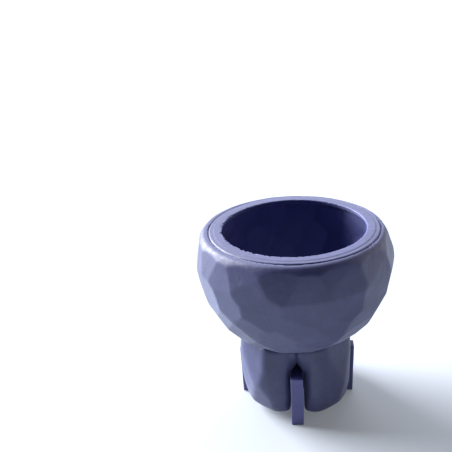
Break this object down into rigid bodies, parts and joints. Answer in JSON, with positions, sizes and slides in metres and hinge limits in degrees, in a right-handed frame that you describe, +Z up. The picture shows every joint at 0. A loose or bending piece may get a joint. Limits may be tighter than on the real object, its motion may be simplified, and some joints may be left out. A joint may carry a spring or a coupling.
{
  "type": "plaster casting mould",
  "caption": "Flexible faceted bowl mould on leg pockets and flat stand fins, open at the top, for casting a small legged plaster pot.",
  "frame": {"origin": "middle of the surface that the mould stands on, under the centre of the mouth", "axes": "+Z up out of the mouth, -Y towards the front fin, +X to the right"},
  "size_m": [0.0914, 0.0913, 0.095],
  "materials": {
    "shell_rubber": "matt, dark navy, slightly dusty",
    "rim_rubber": "matt, dark navy, smooth",
    "fin_rubber": "satin, blue-violet"
  },
  "bodies": {
    "root": {"bowl_shell": "shell_rubber", "rim_ring": "rim_rubber", "stand_core": "fin_rubber", "leg_pocket_rear_right": "shell_rubber", "leg_pocket_rear_left": "shell_rubber", "leg_pocket_front_left": "shell_rubber", "leg_pocket_front_right": "shell_rubber", "stand_fin_rear": "fin_rubber", "stand_fin_left": "fin_rubber", "stand_fin_front": "fin_rubber", "stand_fin_right": "fin_rubber"}
  },
  "joints": []
}
